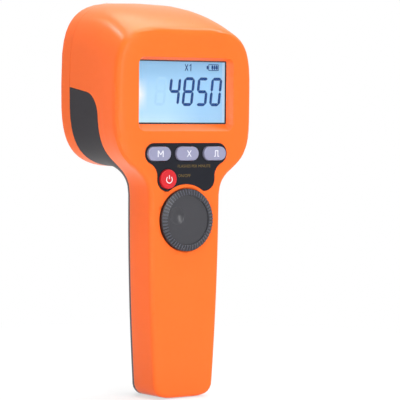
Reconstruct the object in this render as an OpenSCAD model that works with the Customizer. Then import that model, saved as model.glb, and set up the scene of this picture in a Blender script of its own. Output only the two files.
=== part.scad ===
// Hand-held stroboscope: an orange head and grip, a dark rear shell, a display, four keys and a speed knob.
// Sizes in millimetres. The origin is the mouth of the tripod socket in the end of the grip.
// X is to the right of someone reading the display, Y goes towards the lamp, Z goes up the grip.

/* [Head] */
// half width of the head at the display face
front_half_w = 47.2; // [44:0.1:54]
// height of the display face
face_h = 81.6; // [79:0.2:90]
// half width of the head at the lamp end
lamp_half_w = 45.5; // [43:0.1:52]
// height of the lamp end
lamp_h = 95.6; // [93:0.2:106]
// how much higher the underside is at the lamp end than at the display face
lamp_lift = 2.5; // [0:0.1:4]
// depth of the head from the display face to the lamp end
head_depth = 63.4; // [58:0.2:72]
// depth of the separate ring at the lamp end
ring_depth = 11; // [9.5:0.5:13]
// wall of the moulded shells
wall = 2.4; // [1.8:0.1:2.8]

/* [Grip] */
// length of the grip, from its lower end to the head
grip_len = 127.9; // [124:0.1:145]
// half width of the grip below the head
grip_top_half_w = 24.3; // [23.5:0.1:30]
// half width of the grip at its lower end
grip_low_half_w = 19.7; // [18.5:0.1:24.5]
// depth of the grip, front to back
grip_depth = 36.2; // [32:0.1:42]
// depth at which the front and rear shells part
seam_depth = 22.5; // [20:0.1:25]

/* [Display] */
// width of the display that shows
display_w = 59.5; // [52:0.5:64]
// height of the display that shows
display_h = 35; // [30:0.5:38]
// height of the middle of the display above the underside of the head
display_up = 46.1; // [44:0.1:49]
// depth of the display window below the front face
display_drop = 3.8; // [3:0.1:4.4]

/* [Controls] */
// length of each oblong key
key_w = 15.5; // [13:0.1:16]
// width of each oblong key
key_h = 7.9; // [6.5:0.1:8.6]
// spacing of the three oblong keys
key_pitch = 19.2; // [18.6:0.1:21]
// distance of the row of keys below the middle of the display
key_drop = 34.8; // [34:0.1:37]
// diameter of the round power key
power_d = 11; // [9:0.1:12.4]
// distance of the power key below the row of keys
power_drop = 14.4; // [14:0.1:15.5]
// distance of the power key from the middle line
power_side = 12.9; // [12:0.1:14]
// stroke of the four keys
key_travel = 1; // [0.5:0.1:1.2]
// height of the keys above the front face
key_rise = 1.5; // [1:0.1:2.4]
// diameter of the knob at its rim
knob_d = 35.8; // [32:0.1:38]
// diameter of the flat top of the knob
knob_top_d = 28; // [22:0.5:32]
// height of the knob above the front face
knob_rise = 2.9; // [2.2:0.1:4]
// distance of the middle of the knob below the row of keys
knob_drop = 37.7; // [37:0.1:40]

/* [Lamp] */
// width of the border around the lamp lens
lens_border = 13; // [12:0.1:14]
// spacing of the lamp diodes
led_pitch = 14.5; // [13.8:0.1:14.9]
// depth of the cooling fins
fin_depth = 11; // [6:0.5:13]

/* [Inside] */
// diameter of the battery cell
cell_d = 18.4; // [16:0.1:20]
// length of the battery cell
cell_len = 65; // [55:0.5:67]
// diameter of the encoder shaft
shaft_d = 6; // [4:0.1:7]
// diameter of the tripod thread
tripod_d = 6.35; // [5:0.05:7]
// depth of the tripod thread
tripod_len = 10; // [7:0.5:11]

/* [Hidden] */
eps = 0.01;
// gap left at the seams between the mouldings
seam_gap = 0.2;
// gap around a piece that is fitted into a pocket
fit = 0.25;
// gap around a key or a hub that moves through a wall
slide_gap = 0.35;
// radial gap of the encoder shaft in its bore
run_gap = 0.05;
// radial gap of a press fit
press_gap = 0.01;
// gap between flat pieces that lie on one another
lay_gap = 0.02;
// heights of the main features above the tripod socket
front_low = grip_len;
front_top = front_low + face_h;
lamp_low = front_low + lamp_lift;
lamp_top = lamp_low + lamp_h;
lamp_mid_z = lamp_low + lamp_h / 2;
display_z = front_low + display_up;
key_z = display_z - key_drop;
power_x = -power_side;
power_z = key_z - power_drop;
knob_z = key_z - knob_drop;
// the tripod bush, and the depth of the front face in front of it
bush_r = tripod_d / 2 + 1.6;
bush_lip = 1.2;
socket_depth = 11;
front_y = -socket_depth;
grip_low_depth = grip_depth + 0.2;
grip_top_depth = grip_depth - 0.2;
grip_swell = 1.15;
grip_back_r = 19;
front_edge_r = 2.8;
// the front is flat across the keys, and falls back a little towards its sides
front_fall = 1.64;
fall_from = key_pitch + 8.8;
fall_over = 18;
// degrees by which the points of a section crowd towards its front edges
edge_crowd = 8.6;
lamp_edge_r = 2.6;
end_edge_r = 4.5;
end_flat = 8;
end_sag = 3;
neck_blend = 16;
taper_power = 2.52;
front_power = 3.95;
lamp_power = 3.4;
// the lamp ring begins at this depth
ring_seam = head_depth - ring_depth;
// corner of the dark panel on the side of the head
panel_r = 14;
panel_z = front_low + 32;
// the sections of the skin turn about this point, behind the grip and below the head
turn_d = grip_top_depth + 12;
turn_z = front_low - 7.9;
grip_core = 16;
head_core = lamp_mid_z - turn_z;
top_turn = atan2(front_top - turn_z, -turn_d);
// depths of the stack behind the display, one on top of the other
window_thick = 1.6;
window_d0 = display_drop + lay_gap;
window_d1 = window_d0 + window_thick;
glass_d0 = window_d1 + lay_gap;
glass_d1 = glass_d0 + 2.2;
light_d0 = glass_d1 + lay_gap;
light_d1 = light_d0 + 3;
block_d1 = window_d1 + 0.5;
board_d0 = light_d1 + 1.3;
board_d1 = board_d0 + 1.6;
window_w = display_w + 4.5;
window_h = display_h + 4.5;
glass_w = window_w - 1;
glass_h = window_h - 1;
frame_rim = 2.75;
// how far the walls of the display opening lean out at the sides, under it and over it
lean_side = 2.6;
lean_under = 4;
lean_over = 1.6;
// the keys and the switches under them
panel_thick = 0.6;
flange = 1.25;
flange_d0 = wall + 0.1;
flange_d1 = flange_d0 + 1.2;
switch_d0 = board_d0 - 3.6;
switch_half = 3;
plunger_r = 1.6;
plunger_up = 1.2;
stem_d1 = switch_d0 - plunger_up;
stem_r = 2.5;
// the knob and its encoder
pocket_deep = 0.9;
pocket_gap = 0.5;
knob_base = pocket_deep - 0.15;
knob_floor = wall + 1;
hub_r = shaft_d / 2 + 3;
hub_d1 = knob_floor + 1;
encoder_d0 = hub_d1 + 0.8;
shaft_d0 = 1.2 - knob_rise;
shaft_d1 = board_d0 - 1;
encoder_half = hub_r + 0.2;
// the outline of the main board
board_half = window_w / 2 + 7;
board_top = display_z + window_h / 2 + 10.25;
board_mid = display_z - window_h / 2 - 7.25;
board_neck = power_z + 1.2;
board_low_half = power_side + switch_half + 0.1;
board_step = power_z - switch_half - 2;
board_tail_half = encoder_half + 2;
board_low = knob_z - encoder_half - 0.8;
// what stands on the main board, measured from the middle of the display
chip_side = 14;
chip_up = 7;
driver_side = 8;
driver_x = 14;
driver_up = 10;
coil_side = 10;
coil_x = 14;
coil_up = 4;
coil_high = 4.5;
regulator_side = 8;
regulator_drop = 40;
small_pitch = 7;
small_side = 3;
small_drop = 21;
chip_high = 2.4;
capacitor_r = 5;
capacitor_len = 18;
capacitor_x = 18;
capacitor_drop = 15;
// the screws: radius of shank, radius of head, and where they sit
screw_r = 1.3;
screw_head_r = 2.75;
screw_pilot_r = screw_r + 0.05;
screw_clear_r = screw_r + 0.4;
small_r = 1.04;
small_head_r = 2.3;
small_pilot_r = small_r + 0.02;
small_clear_r = small_r + 0.4;
boss_r = 3.5;
case_low_z = wall + boss_r + 2.6;
// the lower screws of the board stand clear of the keys above them and of the power key
board_screw_z = key_z - key_h / 2 - flange - slide_gap - boss_r;
board_screw_far = power_d / 2 + flange + slide_gap + boss_r;
board_screw_x = power_side + sqrt(max(pow(board_screw_far, 2) - pow(board_screw_z - power_z, 2), 0));
board_key_half = board_screw_x + small_head_r + 0.3;
case_high_z = knob_z + 2.5;
head_seat = 2.6;
lamp_spot_x = lamp_half_w - lens_border + 0.5;
lamp_spot_z = lamp_h / 2 - lens_border - 0.8;
// the lamp, from the lens inwards
lens_half_w = lamp_half_w - lens_border;
lens_half_h = lamp_h / 2 - lens_border - 1.3;
lens_r = 20;
lens_lip = 2;
lens_d1 = head_depth - 2;
lens_d0 = lens_d1 - 2.5;
gasket_d0 = lens_d0 - 1;
reflector_d1 = gasket_d0 - lay_gap;
flange_back = ring_seam + 1;
led_edge = 1.5 * led_pitch;
led_face = reflector_d1 - 11.4;
led_board_d1 = led_face - lay_gap;
led_board_d0 = led_board_d1 - 1.6;
sink_d1 = led_board_d0 - lay_gap;
sink_d0 = sink_d1 - 3.5;
sink_half = led_edge + 4.25;
fin_half = led_edge - 4.25;
fin_thick = 1.6;
reflector_rim = 7.25;
reflector_r = 14;
led_board_rim = 6.25;
led_board_r = 12;
led_hole_r = 2.7;
rib_half = 1.5;
rib_x = lens_half_w - lens_r - rib_half;
web_half = 1.1;
rib_reach = lens_half_h - 2.6;
lead_r = 0.8;
// the battery and the charging inlet
cell_depth = cell_d / 2 + 6.8;
cradle_wall = 1.6;
contact_gap = 2.5;
cell_z1 = board_low - 0.5 - cradle_wall - contact_gap;
cell_z0 = cell_z1 - cell_len;
cradle_half = cell_d / 2 + fit + 2;
usb_d = grip_depth - 5.6;
usb_half = 3.75;
charge_half = 6.5;
charge_thick = 1.2;
charge_d0 = usb_d + 1.4;
charge_top = 17.5;

function clamp01(v) = min(max(v, 0), 1);
function mix(a, b, t) = a + (b - a) * t;
// smooth union and rounded intersection of two distances
function soft_min(a, b, k) = let(h = clamp01(0.5 + 0.5 * (b - a) / k)) mix(b, a, h) - k * h * (1 - h);
function round_max(a, b, r) = let(u = max(a + r, 0), v = max(b + r, 0))
    min(max(a, b), -r) + sqrt(u * u + v * v);
function far(a, b) = sqrt(a * a + b * b);

// the head is a rounded square that swells and rises from the display face to the lamp end
function head_side(x, d, z, i) = let(
    t = 1 - pow(1 - clamp01(d / head_depth), taper_power),
    w = mix(front_half_w, lamp_half_w, t) - i,
    top = mix(front_top, lamp_top, t) - i,
    low = mix(front_low, lamp_low, t) + i,
    n = mix(front_power, lamp_power, t),
    mid = (top + low) / 2,
    g = pow(pow(abs(x) / w, n) + pow(abs(z - mid) / ((top - low) / 2), n), 1 / n))
    far(x, z - mid) * (1 - 1 / max(g, 0.001));
function head_form(x, d, z, i) =
    round_max(head_side(x, d, z, i), d - head_depth + i, max(lamp_edge_r - i, 0.3));
// half width of the grip at a height
function grip_half(z) = let(u = min(max(z / turn_z, 0), 1.6))
    mix(grip_low_half_w, grip_top_half_w, u) + grip_swell * 4 * u * (1 - u);
// the grip is flat in front, round behind, and a little convex at its lower end
function grip_form(x, d, z, i) = let(
    u = min(max(z / turn_z, 0), 1.6),
    w = grip_half(z) - i,
    deep = mix(grip_low_depth, grip_top_depth, u) - i,
    out = max(abs(x) - end_flat, 0) / 12,
    side = round_max(abs(x) - w, d - deep, grip_back_r - i))
    max(round_max(side, end_sag * out * out + i - z, max(end_edge_r - i, 1)), z - turn_z - 65);
function body_form(x, d, z, i) = round_max(
    soft_min(head_form(x, d, z, i), grip_form(x, d, z, i), neck_blend),
    i - d + front_fall * pow(max(abs(x) - fall_from, 0) / fall_over, 2), max(front_edge_r - i, 1));

// distance from a point on the core line to the skin, found by halving
function reach(c, e, lo, hi, i, n) = n == 0 ? (lo + hi) / 2 : let(m = (lo + hi) / 2)
    body_form(e[0] * m, c[0] + e[1] * m, c[1] + e[2] * m, i) > 0.0001
    ? reach(c, e, lo, m, i, n - 1) : reach(c, e, m, hi, i, n - 1);
function power_of(v, q) = sign(v) * pow(abs(v), q);
// one closed section of the skin: centre c, outward direction s, count n, inset i
function section_pts(c, s, n, i) = let(
    w = reach(c, [1, 0, 0], 0, 80, i, 20),
    a = reach(c, [0, s[0], s[1]], 0, 110, i, 20),
    b = reach(c, [0, -s[0], -s[1]], 0, 110, i, 20),
    half = [for (j = [0:n / 2]) let(
        u = -90 + 360 * j / n,
        q = u + (u > 0 ? edge_crowd * sin(4 * u) : 0),
        x = w * power_of(cos(q), 0.55),
        v = (sin(q) > 0 ? a : b) * power_of(sin(q), 0.55),
        e = [x, v * s[0], v * s[1]],
        m = reach(c, e, 0, 4, i, 18),
        d = c[0] + e[1] * m)
        // points on the flat front lie exactly in its plane, and those of a straight side exactly in line
        [abs(x) < 0.0001 ? 0 : round(e[0] * m * 1000) / 1000, (d < i + 0.004 ? i : d) + front_y,
            c[1] + e[2] * m]])
    concat(half, [for (j = [n / 2 - 1:-1:1]) [-half[j][0], half[j][1], half[j][2]]]);
// the sections: level ones up the grip, a fan around the bend, upright ones out to the lamp end
function skin_sections(levels, turns, depths, n, i) = concat(
    [for (z = levels) section_pts([grip_core, z], [-1, 0], n, i)],
    [for (p = turns) let(r = min((turn_d - grip_core) / max(-cos(p), 0.01), head_core))
        section_pts([turn_d + r * cos(p), turn_z + r * sin(p)], [cos(p), sin(p)], n, i)],
    [for (d = depths) section_pts([d, lamp_mid_z], [0, 1], n, i)]);

module skin(levels, turns, depths, n, i) {
    rows = skin_sections(levels, turns, depths, n, i);
    m = len(rows);
    pts = [for (r = rows) each r];
    quads = [for (k = [0:m - 2], j = [0:n - 1]) let(
        a = k * n + j, b = k * n + (j + 1) % n, c = a + n, e = b + n)
        each (j < n / 2 ? [[a, b, c], [b, e, c]] : [[a, e, c], [a, b, e]])];
    polyhedron(points = pts, convexity = 6, faces = concat(quads,
        [[for (j = [n - 1:-1:0]) j]], [[for (j = [0:n - 1]) (m - 1) * n + j]]));
}
module outer_skin() {
    ends = [0, 0.25, 0.8, 1.6, 2.7, 4.2, 6.2, 9];
    up = [0.167, 0.29, 0.42, 0.54, 0.67, 0.775, 0.86, 0.917, 0.9625];
    round_front = [0, 0.04, 0.08, 0.12, 0.16, 0.2, 0.24, 0.28, 0.32, 0.366, 0.414, 0.462, 0.518, 0.573,
        0.637, 0.7, 0.764, 0.82, 0.868, 0.908, 0.94, 0.963, 0.982, 1];
    over_top = [0.037, 0.074, 0.118, 0.173, 0.246, 0.338, 0.449, 0.577, 0.706, 0.853, 1];
    skin(concat(ends, up * turn_z), concat([for (f = round_front) mix(180, top_turn, f)],
        [for (f = over_top) mix(top_turn, 90, f)]),
        concat([for (f = [0.4, 0.8]) mix(turn_d, ring_seam + 3, f)],
        [for (f = [5.6, lamp_edge_r, 1.6, 0.8, 0.25, 0]) head_depth - f]), 60, 0);
}
module inner_skin() {
    up = [0.167, 0.42, 0.67, 0.875];
    round_front = [0, 0.1, 0.19, 0.29, 0.38, 0.5, 0.62, 0.76, 0.86, 0.94, 1];
    over_top = [0.15, 0.37, 0.66, 1];
    skin(concat([wall, wall + 1, wall + 3], up * turn_z), concat([for (f = round_front) mix(180, top_turn, f)],
        [for (f = over_top) mix(top_turn, 90, f)]), [(turn_d + head_depth) / 2, head_depth - wall], 40, wall);
}

// where the case screws and the board screws sit
module at_case_screws() {
    for (s = [-1, 1]) {
        translate([s * (grip_half(case_high_z) - 6.8), 0, case_high_z]) children();
        translate([s * (grip_half(case_low_z) - 8.6), 0, case_low_z]) children();
    }
}
module at_board_screws() {
    for (s = [-1, 1]) {
        translate([s * (window_w / 2 + 3.5), 0, display_z + window_h / 2 + 6.75]) children();
        translate([s * board_screw_x, 0, board_screw_z]) children();
    }
}
module at_module_screws() {
    for (s = [-1, 1], t = [-1, 1]) translate([s * led_edge, 0, lamp_mid_z + t * led_edge]) children();
}
module at_lamp_screws(t) {
    for (s = [-1, 1]) translate([s * lamp_spot_x, 0, lamp_mid_z + t * lamp_spot_z]) children();
}

// a flat shape in X and Z, thickened from depth d0 to depth d1
module face(d0, d1) {
    translate([0, front_y + d1, 0]) rotate([90, 0, 0]) linear_extrude(d1 - d0) children();
}
// a round bar along the depth
module rod(x, z, d0, d1, r, fn = 32) {
    translate([x, front_y + d0, z]) rotate([-90, 0, 0]) cylinder(r = r, h = d1 - d0, $fn = fn);
}
module cone(x, z, d0, d1, r0, r1, fn = 32) {
    translate([x, front_y + d0, z]) rotate([-90, 0, 0]) cylinder(r1 = r0, r2 = r1, h = d1 - d0, $fn = fn);
}
// a block from x0 to x1, depth d0 to d1 and z0 to z1
module block(x0, x1, d0, d1, z0, z1) {
    translate([x0, front_y + d0, z0]) cube([x1 - x0, d1 - d0, z1 - z0]);
}
module rounded(w, h, r, fn = 32) {
    hull() for (x = [r - w / 2, w / 2 - r], z = [r - h / 2, h / 2 - r]) translate([x, z]) circle(r, $fn = fn);
}
module at_display() {
    translate([0, display_z]) children();
}
module at_lamp() {
    translate([0, lamp_mid_z]) children();
}
// an oblong key shape, grown by g
module oblong(x, g) {
    hull() for (s = [-1, 1]) translate([x + s * (key_w - key_h) / 2, key_z]) circle(key_h / 2 + g, $fn = 32);
}
module panel_shape(g) {
    end_x = key_pitch + 3.1;
    end_r = key_h / 2 + 2.1;
    offset(r = 1.5, $fn = 24) offset(r = g - 1.5, $fn = 24) difference() {
        offset(r = -8, $fn = 32) offset(r = 8, $fn = 32) {
            hull() for (s = [-1, 1]) translate([s * end_x, key_z]) circle(end_r, $fn = 32);
            hull() for (s = [-1, 1]) translate([s * power_side, power_z]) circle(power_d / 2 + 1.55, $fn = 32);
            translate([1 - power_side - power_d / 2, power_z])
                square([2 * power_side + power_d - 2, power_drop]);
        }
        translate([0, knob_z]) circle(knob_d / 2 + 2.4, $fn = 64);
    }
}
// the region behind the seam: the back of the grip and the dark panels low on the head
module behind_seam(g) {
    c = seam_depth + panel_r;
    rotate([90, 0, 90]) linear_extrude(140, center = true) translate([front_y, 0]) polygon(concat(
        [[seam_depth - g, -5], [seam_depth - g, panel_z]],
        [for (q = [172:-8:96]) [c + (panel_r + g) * cos(q), panel_z + (panel_r + g) * sin(q)]],
        [[head_depth + 5, panel_z + panel_r + 5 + g], [head_depth + 5, -5]]));
}
module past_ring(g) {
    block(-80, 80, ring_seam - g, head_depth + 10, 100, 260);
}
// a boss along the depth, from its root to its tip
module boss(root, tip, r0, r1) {
    step = 0.2 * sign(tip - root);
    hull() {
        rod(0, 0, min(root, root + step), max(root, root + step), r0, 24);
        rod(0, 0, min(tip - step, tip), max(tip - step, tip), r1, 24);
    }
}

// moulded shells
// the space inside the shells, less what stands in it
module front_space() {
    difference() {
        inner_skin();
        // frame around the display
        face(1, block_d1) at_display() rounded(window_w + 7, window_h + 7, 4, 24);
        // floor under the knob
        difference() {
            rod(0, knob_z, 1, knob_floor, knob_d / 2 + 2.6, 48);
            rod(power_x, power_z, 0.5, knob_floor + 1, power_d / 2 + flange + slide_gap);
        }
        at_board_screws() boss(1, board_d0 - lay_gap, boss_r, small_r + 1.8);
        at_case_screws() boss(1, seam_depth + 5, boss_r, boss_r);
        at_lamp_screws(1) boss(ring_seam - 24, ring_seam + 5, boss_r + 0.7, boss_r + 0.3);
        for (s = [-1, 1]) block(s * rib_x - rib_half, s * rib_x + rib_half, ring_seam - 10, ring_seam + 5,
            lamp_mid_z + rib_reach, lamp_top + 5);
        at_lamp_screws(1) block(-web_half, web_half, ring_seam - 18, ring_seam + 5, 0, lamp_h);
        // seat of the tripod bush
        translate([0, 0, -1]) cylinder(r = bush_r + 2, h = tripod_len + 3, $fn = 32);
    }
}
module rear_space() {
    difference() {
        inner_skin();
        at_case_screws() boss(grip_depth + 6, seam_depth - 2, boss_r + 0.9, boss_r);
        at_lamp_screws(-1) boss(ring_seam - 24, ring_seam + 5, boss_r + 0.7, boss_r + 0.3);
        for (s = [-1, 1]) hull() {
            block(s * rib_x - rib_half, s * rib_x + rib_half, ring_seam - 12, ring_seam + 5, lamp_low - 5,
                lamp_low + 3);
            block(s * rib_x - rib_half, s * rib_x + rib_half, ring_seam - 6, ring_seam + 5, lamp_low - 5,
                lamp_mid_z - rib_reach);
        }
        at_lamp_screws(-1) block(-web_half, web_half, ring_seam - 18, ring_seam + 5, -lamp_h / 2, 0);
        // rails that hold the charging board
        for (s = [-1, 1]) block(s * (charge_half + 1.1) - 1, s * (charge_half + 1.1) + 1, charge_d0 - 1.2,
            grip_depth + 10, -5, charge_top);
    }
}
// the ends of the ribs that press the reflector into the ring
module rib_end(t) {
    for (s = [-1, 1]) block(s * rib_x - rib_half, s * rib_x + rib_half, ring_seam - 2, flange_back - lay_gap,
        lamp_mid_z + t * (rib_reach + 1) - 1, lamp_mid_z + t * (rib_reach + 1) + 1);
}
module front_shell() {
    grow = (display_drop + 1) / display_drop;
    color("#f5793a") difference() {
        outer_skin();
        front_space();
        behind_seam(seam_gap / 2);
        difference() {
            past_ring(seam_gap / 2);
            rib_end(1);
        }
        // sloped opening of the display
        hull() {
            face(-1.2, -1) at_display() translate([0, grow * (lean_over - lean_under) / 2])
                rounded(display_w + 1 + 2 * grow * lean_side, display_h + 1 + grow * (lean_over + lean_under), 4.6, 24);
            face(display_drop, display_drop + 0.2) at_display() rounded(display_w + 1, display_h + 1, 0.8, 24);
        }
        face(display_drop, block_d1 + 1) at_display() rounded(window_w + 2 * fit, window_h + 2 * fit, 1.2, 16);
        // pocket of the key panel, and the holes of the keys
        face(-1, panel_thick + lay_gap) panel_shape(fit / 2);
        for (k = [-1:1]) face(-1, wall + 2) oblong(k * key_pitch, slide_gap);
        rod(power_x, power_z, -1, wall + 2, power_d / 2 + slide_gap);
        // pocket of the knob, and the hole of its hub
        rod(0, knob_z, -1, pocket_deep, knob_d / 2 + pocket_gap, 72);
        rod(0, knob_z, 0, 8, hub_r + slide_gap);
        at_board_screws() rod(0, 0, board_d0 - 5, board_d0 + 1, small_pilot_r, 16);
        at_case_screws() rod(0, 0, seam_depth - 8, seam_depth + 1, screw_pilot_r, 16);
        at_lamp_screws(1) rod(0, 0, ring_seam - 14, ring_seam + 1, screw_pilot_r, 16);
        // bore of the tripod bush
        translate([0, 0, -1]) cylinder(r = bush_r + press_gap, h = tripod_len + 1.5, $fn = 48);
        translate([0, 0, -1]) cylinder(r = bush_r + bush_lip + fit, h = bush_lip + 1, $fn = 48);
    }
}
module rear_shell() {
    color("#3a3b3f") difference() {
        intersection() {
            outer_skin();
            behind_seam(-seam_gap / 2);
        }
        rear_space();
        difference() {
            past_ring(seam_gap / 2);
            rib_end(-1);
        }
        at_case_screws() {
            rod(0, 0, seam_depth - 1, grip_depth + 4, screw_clear_r, 16);
            rod(0, 0, seam_depth + head_seat, grip_depth + 9, screw_head_r + 0.35, 24);
        }
        at_lamp_screws(-1) rod(0, 0, ring_seam - 14, ring_seam + 1, screw_pilot_r, 16);
        // mouth of the charging inlet, and the slots of its board
        hull() for (s = [-1, 1]) translate([s * (usb_half - 0.75), front_y + usb_d, -1])
            cylinder(r = 1.5, h = wall + 5.6, $fn = 16);
        block(-charge_half - 0.2, charge_half + 0.2, charge_d0 - 0.1, charge_d0 + charge_thick + 0.1, wall,
            charge_top + 0.5);
    }
}
module lens_shape(g, r) {
    at_lamp() rounded(2 * (lens_half_w + g), 2 * (lens_half_h + g), r);
}
module lamp_bezel() {
    color("#f5793a") difference() {
        intersection() {
            outer_skin();
            past_ring(-seam_gap / 2);
        }
        face(lens_d1 - 1, head_depth + 1) lens_shape(-lens_lip, lens_r - lens_lip);
        hull() {
            face(head_depth - 1.4, head_depth - 1.2) lens_shape(-lens_lip, lens_r - lens_lip);
            face(head_depth + 0.6, head_depth + 0.8) lens_shape(-0.4, lens_r - 0.4);
        }
        face(ring_seam - 1, lens_d1) lens_shape(fit, lens_r);
        for (t = [-1, 1]) at_lamp_screws(t) {
            rod(0, 0, ring_seam - 1, head_depth + 1, screw_clear_r, 16);
            hull() {
                rod(0, 0, head_depth - 2.6, head_depth - 2.4, screw_clear_r, 24);
                rod(0, 0, head_depth - 0.5, head_depth - 0.3, screw_head_r + 0.4, 24);
            }
            hull() {
                rod(0, 0, head_depth - 0.45, head_depth, screw_head_r + 0.4, 24);
                rod(0, 0, head_depth + 0.5, head_depth + 1, screw_head_r + 0.4, 24);
            }
        }
    }
}

// lamp
module lamp_lens() {
    color("#e8f2f8", 0.5) face(lens_d0, lens_d1 - lay_gap) lens_shape(0, lens_r - 0.2);
}
module lens_gasket() {
    color("#2b2b2d") face(gasket_d0, lens_d0 - lay_gap) difference() {
        lens_shape(-0.2, lens_r - 0.4);
        lens_shape(-lens_lip - 0.5, lens_r - 2.5);
    }
}
module led_spots() {
    for (i = [-1.5:1:1.5], k = [-1.5:1:1.5]) if (abs(i) + abs(k) < 2.6)
        translate([i * led_pitch, 0, lamp_mid_z + k * led_pitch]) children();
}
module reflector() {
    body = 2 * (led_edge + reflector_rim);
    color("#d9dce0") difference() {
        union() {
            face(flange_back, reflector_d1) lens_shape(-0.2, lens_r - 0.4);
            face(led_face, flange_back + eps) at_lamp() rounded(body, body, reflector_r);
        }
        led_spots() {
            cone(0, 0, led_face + 0.6, reflector_d1 + 0.05, led_hole_r, led_pitch / 2 - 0.35, 32);
            rod(0, 0, led_face - 1, led_face + 0.7, led_hole_r);
        }
        at_module_screws() rod(0, 0, led_face - 1, led_face + 6, small_pilot_r, 24);
    }
}
module led_board() {
    side = 2 * (led_edge + led_board_rim);
    color("#e9ebee") difference() {
        face(led_board_d0, led_board_d1) at_lamp() rounded(side, side, led_board_r);
        at_module_screws() rod(0, 0, led_board_d0 - 1, led_board_d1 + 1, small_clear_r, 24);
    }
}
module leds() {
    color("#f2e8a8") led_spots() {
        block(-1.75, 1.75, led_board_d1, led_board_d1 + 0.9, -1.75, 1.75);
        intersection() {
            translate([0, front_y + led_board_d1 + 0.8, 0]) sphere(1.6, $fn = 32);
            block(-2, 2, led_board_d1 + 0.5, led_board_d1 + 4, -2, 2);
        }
    }
}
module heat_sink() {
    color("#b9bcc0") difference() {
        union() {
            block(-sink_half, sink_half, sink_d0, sink_d1, lamp_mid_z - sink_half - 1,
                lamp_mid_z + sink_half + 1);
            for (i = [-3.5:1:3.5]) translate([i * fin_half / 3.5, 0, 0]) block(-fin_thick / 2, fin_thick / 2,
                sink_d0 - fin_depth, sink_d0 + 0.5, lamp_mid_z - sink_half + 1, lamp_mid_z + sink_half - 1);
        }
        at_module_screws() rod(0, 0, sink_d0 - 1, sink_d1 + 1, small_clear_r, 24);
    }
}
module module_screws() {
    color("#a9abae") at_module_screws() {
        rod(0, 0, sink_d0 - 1.8, sink_d0 - eps, small_head_r);
        rod(0, 0, sink_d0 - 2 * eps, led_face + 5, small_r, 24);
    }
}
module lamp_screws() {
    color("#8d8f93") for (t = [-1, 1]) at_lamp_screws(t) difference() {
        union() {
            rod(0, 0, ring_seam - 12, head_depth - 2.3, screw_r, 24);
            cone(0, 0, head_depth - 2.35, head_depth - 0.55, screw_r + 0.1, screw_head_r + 0.15);
            rod(0, 0, head_depth - 0.56, head_depth - 0.3, screw_head_r + 0.15);
        }
        cross_slot(head_depth - 1.3, head_depth);
    }
}
module cross_slot(d0, d1) {
    block(-1.7, 1.7, d0, d1, -0.4, 0.4);
    block(-0.4, 0.4, d0, d1, -1.7, 1.7);
}

// display
module display_window() {
    color("#cfe4f5", 0.5) face(window_d0, window_d1) at_display() rounded(window_w, window_h, 1, 24);
}
module lcd_glass() {
    color("#a9cdf2") face(glass_d0, glass_d1) at_display() square([glass_w, glass_h], center = true);
}
module lcd_backlight() {
    color("#eef4fa") face(light_d0, light_d1) at_display() square([glass_w, glass_h - 6.5], center = true);
}
module lcd_frame() {
    color("#dcdcd8") face(block_d1 + lay_gap, board_d0 - lay_gap) at_display() difference() {
        square([glass_w + 2 * frame_rim, glass_h + 2 * frame_rim], center = true);
        square([glass_w + 2 * fit, glass_h + 2 * fit], center = true);
    }
}
module zebra_strips() {
    color("#c9b8b8") for (s = [-1, 1]) translate([0, 0, display_z + s * (glass_h / 2 - 1.5)])
        block(4 - glass_w / 2, glass_w / 2 - 4, glass_d1 + lay_gap, board_d0 - lay_gap, -1.1, 1.1);
}

// keys
module keypad_panel() {
    color("#202024") face(0, panel_thick) difference() {
        panel_shape(-fit / 2);
        for (k = [-1:1]) oblong(k * key_pitch, slide_gap);
        translate([power_x, power_z]) circle(power_d / 2 + slide_gap, $fn = 32);
    }
}
module oblong_key(x) {
    color("#a0a5c8") {
        face(-key_rise, flange_d1) oblong(x, 0);
        face(flange_d0, flange_d1) oblong(x, flange);
        rod(x, key_z, flange_d1 - 0.1, stem_d1, stem_r);
    }
}
module mode_key() {
    oblong_key(-key_pitch);
}
module times_key() {
    oblong_key(0);
}
module pulse_key() {
    oblong_key(key_pitch);
}
module power_key() {
    color("#e8323c") {
        rod(power_x, power_z, -key_rise, flange_d1, power_d / 2);
        rod(power_x, power_z, flange_d0, flange_d1, power_d / 2 + flange);
        rod(power_x, power_z, flange_d1 - 0.1, stem_d1, stem_r);
    }
}
module plunger(x, z) {
    color("#5a4a3a") rod(x, z, stem_d1 + eps, switch_d0 + 0.8, plunger_r);
}
module mode_plunger() {
    plunger(-key_pitch, key_z);
}
module times_plunger() {
    plunger(0, key_z);
}
module pulse_plunger() {
    plunger(key_pitch, key_z);
}
module power_plunger() {
    plunger(power_x, power_z);
}
module switch_bodies() {
    color("#2c2c2e") for (p = [[-key_pitch, key_z], [0, key_z], [key_pitch, key_z], [power_x, power_z]])
        translate([p[0], 0, p[1]]) difference() {
            block(-switch_half, switch_half, switch_d0, board_d0 - eps, -switch_half, switch_half);
            rod(0, 0, switch_d0 - 1, switch_d0 + 0.9 + key_travel, plunger_r + slide_gap);
        }
}

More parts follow.
